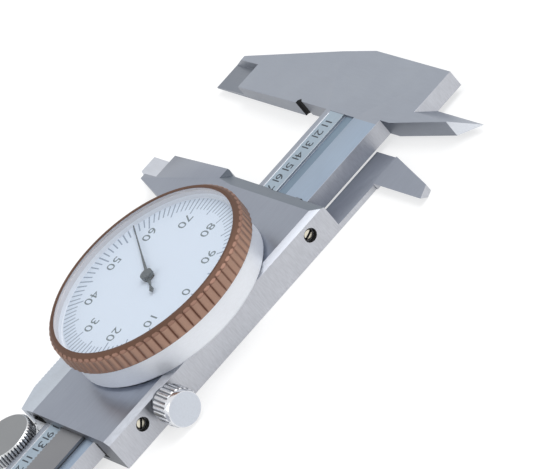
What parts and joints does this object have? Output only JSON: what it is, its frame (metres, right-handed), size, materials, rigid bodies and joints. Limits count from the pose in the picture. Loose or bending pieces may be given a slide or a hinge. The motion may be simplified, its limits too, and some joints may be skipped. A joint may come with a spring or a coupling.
{
  "type": "dial caliper",
  "caption": "Sliding caliper with outside jaws, inside jaws and depth rod, read on a dial that a rack on the beam drives.",
  "frame": {"origin": "bottom centre of the box round the whole caliper, lying on its slider's back with the dial up", "axes": "+X along the beam from the jaws to the tail, +Y across the beam towards the inside jaws, +Z out of the dial"},
  "size_m": [0.2472, 0.0774, 0.0148],
  "materials": {
    "steel": "satin, fine grain along the beam, blue-grey",
    "satin_steel": "satin, fine grain, grey",
    "pale_steel": "bright, turned or plated",
    "satin_case": "satin silver, turned",
    "copper": "bronze-coloured, with coarse straight knurling",
    "brass": "machined",
    "spring_steel": "blued",
    "dial_paint": "matt pale blue-white, printed",
    "crystal": "clear",
    "pointer_paint": "dark satin"
  },
  "bodies": {
    "beam": {"beam": "steel", "rack": "satin_steel", "rack_screw_1": "pale_steel", "rack_screw_2": "pale_steel", "end_stop": "steel", "end_stop_screw_1": "pale_steel", "end_stop_screw_2": "pale_steel"},
    "slider": {"slider_frame": "satin_steel", "gib": "brass", "gib_screw_1": "pale_steel", "gib_screw_2": "pale_steel", "depth_rod": "steel", "depth_rod_screw": "pale_steel", "roller_pin": "pale_steel", "roller_bracket": "satin_steel", "bracket_screw": "pale_steel", "dial_case": "satin_case", "case_screw_1": "pale_steel", "case_screw_2": "pale_steel", "case_screw_3": "pale_steel", "case_screw_4": "pale_steel", "bezel_spring": "spring_steel", "movement_base": "brass", "base_screw_1": "pale_steel", "base_screw_2": "pale_steel", "base_screw_3": "pale_steel", "bridge_pillar_1": "brass", "bridge_pillar_2": "brass", "bridge_pillar_3": "brass", "movement_bridge": "brass", "bridge_screw_1": "pale_steel", "bridge_screw_2": "pale_steel", "bridge_screw_3": "pale_steel", "hairspring": "spring_steel", "spring_stud": "brass"},
    "bezel": {"bezel": "copper", "crystal": "crystal", "dial_face": "dial_paint"},
    "pointer_arbor": {"centre_arbor": "steel", "pointer": "pointer_paint"},
    "rack_pinion": {"rack_pinion": "steel", "drive_gear": "brass"},
    "takeup": {"takeup_gear": "brass", "takeup_arbor": "steel"},
    "thumb_roller": {"thumb_roller": "satin_steel"},
    "lock_screw": {"lock_screw": "pale_steel"}
  },
  "joints": [
    {"name": "slider_slide", "type": "slide", "parent": "beam", "child": "slider", "axis": [1, 0, 0], "range_m": [-0.0167, 0.13569]},
    {"name": "bezel_turn", "type": "hinge", "parent": "slider", "child": "bezel", "pos_m": [-0.0657, 0.0093, 0.0128], "axis": [0, 0, 1], "continuous": true},
    {"name": "pointer_turn", "type": "hinge", "parent": "slider", "child": "pointer_arbor", "pos_m": [-0.0657, 0.0093, 0.01], "axis": [0, 0, 1], "continuous": true},
    {"name": "rack_pinion_turn", "type": "hinge", "parent": "slider", "child": "rack_pinion", "pos_m": [-0.07047, 0.00526, 0.008], "axis": [0, 0, 1], "continuous": true},
    {"name": "takeup_turn", "type": "hinge", "parent": "slider", "child": "takeup", "pos_m": [-0.06681, 0.01545, 0.009], "axis": [0, 0, 1], "continuous": true},
    {"name": "thumb_roller_turn", "type": "hinge", "parent": "slider", "child": "thumb_roller", "pos_m": [-0.0326, -0.00455, 0.0044], "axis": [0, 0, 1], "continuous": true},
    {"name": "lock_screw_turn", "type": "hinge", "parent": "slider", "child": "lock_screw", "pos_m": [-0.05035, 0.0269, 0.0034], "axis": [0, 1, 0], "range_deg": [-90, 360]}
  ],
  "couplings": [
    {"joint": "pointer_turn", "follows": "slider_slide", "rad_per_m": -2473.7},
    {"joint": "rack_pinion_turn", "follows": "slider_slide", "rad_per_m": 618.42},
    {"joint": "takeup_turn", "follows": "slider_slide", "rad_per_m": 618.42},
    {"joint": "thumb_roller_turn", "follows": "slider_slide", "rad_per_m": 188.68}
  ]
}
